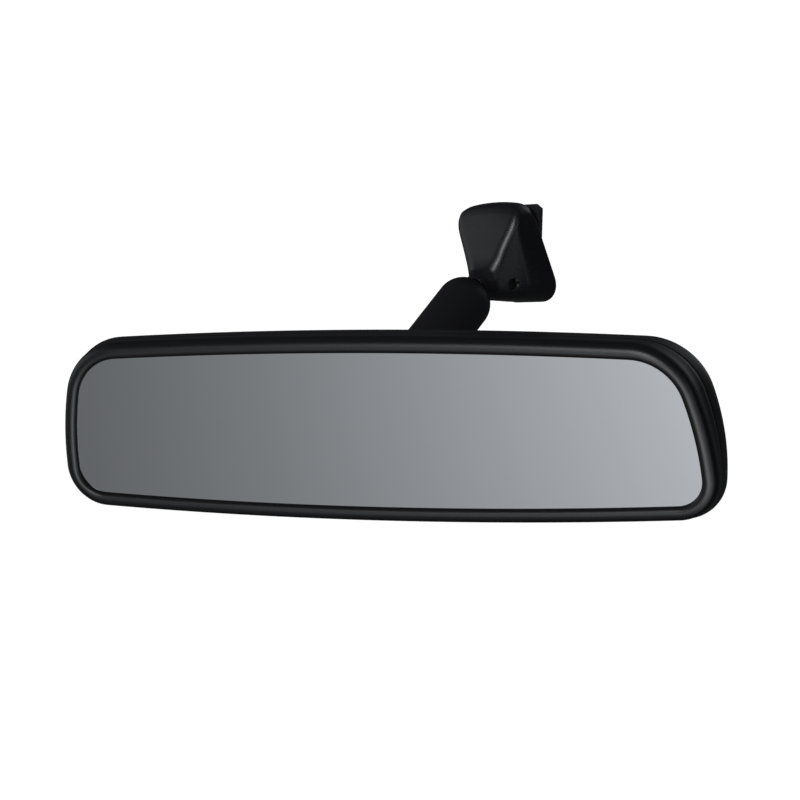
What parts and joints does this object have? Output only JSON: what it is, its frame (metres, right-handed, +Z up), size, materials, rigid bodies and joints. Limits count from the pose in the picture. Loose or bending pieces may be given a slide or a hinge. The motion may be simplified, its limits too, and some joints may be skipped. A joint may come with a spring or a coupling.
{
  "type": "interior rearview mirror",
  "caption": "Interior rearview mirror with a wide trapezoid glass in a rounded case, on a double-ball arm hung from a wedge plate windshield mount.",
  "frame": {"origin": "centre of the wedge plate's seat face, which bears on the bracket bonded to the windshield", "axes": "+X across the car to the right as seen from the seats, +Y forward towards the windshield, +Z up; the head hangs on the -Y side"},
  "size_m": [0.2392, 0.1492, 0.119],
  "materials": {
    "black_case": "fine satin texture",
    "black_cover": "satin",
    "arm_black": "matte black coat",
    "zinc": "black coated die casting",
    "stud_steel": "plain",
    "spring_steel": "oiled",
    "zinc_plated": "zinc plated",
    "screw_black": "black oxide",
    "nylon": "natural nylon",
    "rubber_black": "matte",
    "foam": "closed-cell foam",
    "carrier_plastic": "plain moulded",
    "mirror_glass": "silvered glass"
  },
  "bodies": {
    "mount": {"mount_base": "zinc", "mount_cover": "black_cover", "cover_screws": "screw_black", "retaining_spring": "spring_steel", "upper_ball_stud": "stud_steel"},
    "upper_ring": {"upper_seat_ring": "nylon"},
    "upper_cup": {"upper_ball_cup": "nylon"},
    "arm": {"arm_tube": "arm_black", "upper_thrust_washer": "zinc_plated", "arm_spring": "spring_steel", "lower_thrust_washer": "zinc_plated"},
    "lower_cup": {"lower_ball_cup": "nylon"},
    "lower_ring": {"lower_seat_ring": "nylon"},
    "head": {"lower_ball_stud": "stud_steel", "stud_grommet": "rubber_black", "stud_plate": "zinc_plated", "plate_screws": "zinc_plated", "rear_housing": "black_case", "glass_carrier": "carrier_plastic", "carrier_screws": "zinc_plated", "foam_pad": "foam", "mirror_glass": "mirror_glass", "bezel": "black_case"}
  },
  "joints": [
    {"name": "arm_swing", "type": "hinge", "parent": "mount", "child": "upper_ring", "pos_m": [0, -0.03266, -0.02529], "axis": [0, 0, 1], "range_deg": [-10, 10]},
    {"name": "arm_lift", "type": "hinge", "parent": "upper_ring", "child": "upper_cup", "pos_m": [0, -0.03266, -0.02529], "axis": [1, 0, 0], "range_deg": [-10, 10]},
    {"name": "arm_twist", "type": "hinge", "parent": "upper_cup", "child": "arm", "pos_m": [0, -0.03266, -0.02529], "axis": [0, 0.749, 0.6626], "range_deg": [-30, 30]},
    {"name": "head_twist", "type": "hinge", "parent": "arm", "child": "lower_cup", "pos_m": [0, -0.06592, -0.05471], "axis": [0, 0.749, 0.6626], "range_deg": [-30, 30]},
    {"name": "head_tilt", "type": "hinge", "parent": "lower_cup", "child": "lower_ring", "pos_m": [0, -0.06592, -0.05471], "axis": [1, 0, 0], "range_deg": [-18, 14]},
    {"name": "head_turn", "type": "hinge", "parent": "lower_ring", "child": "head", "pos_m": [0, -0.06592, -0.05471], "axis": [0, 0, 1], "range_deg": [-38, 6]}
  ]
}
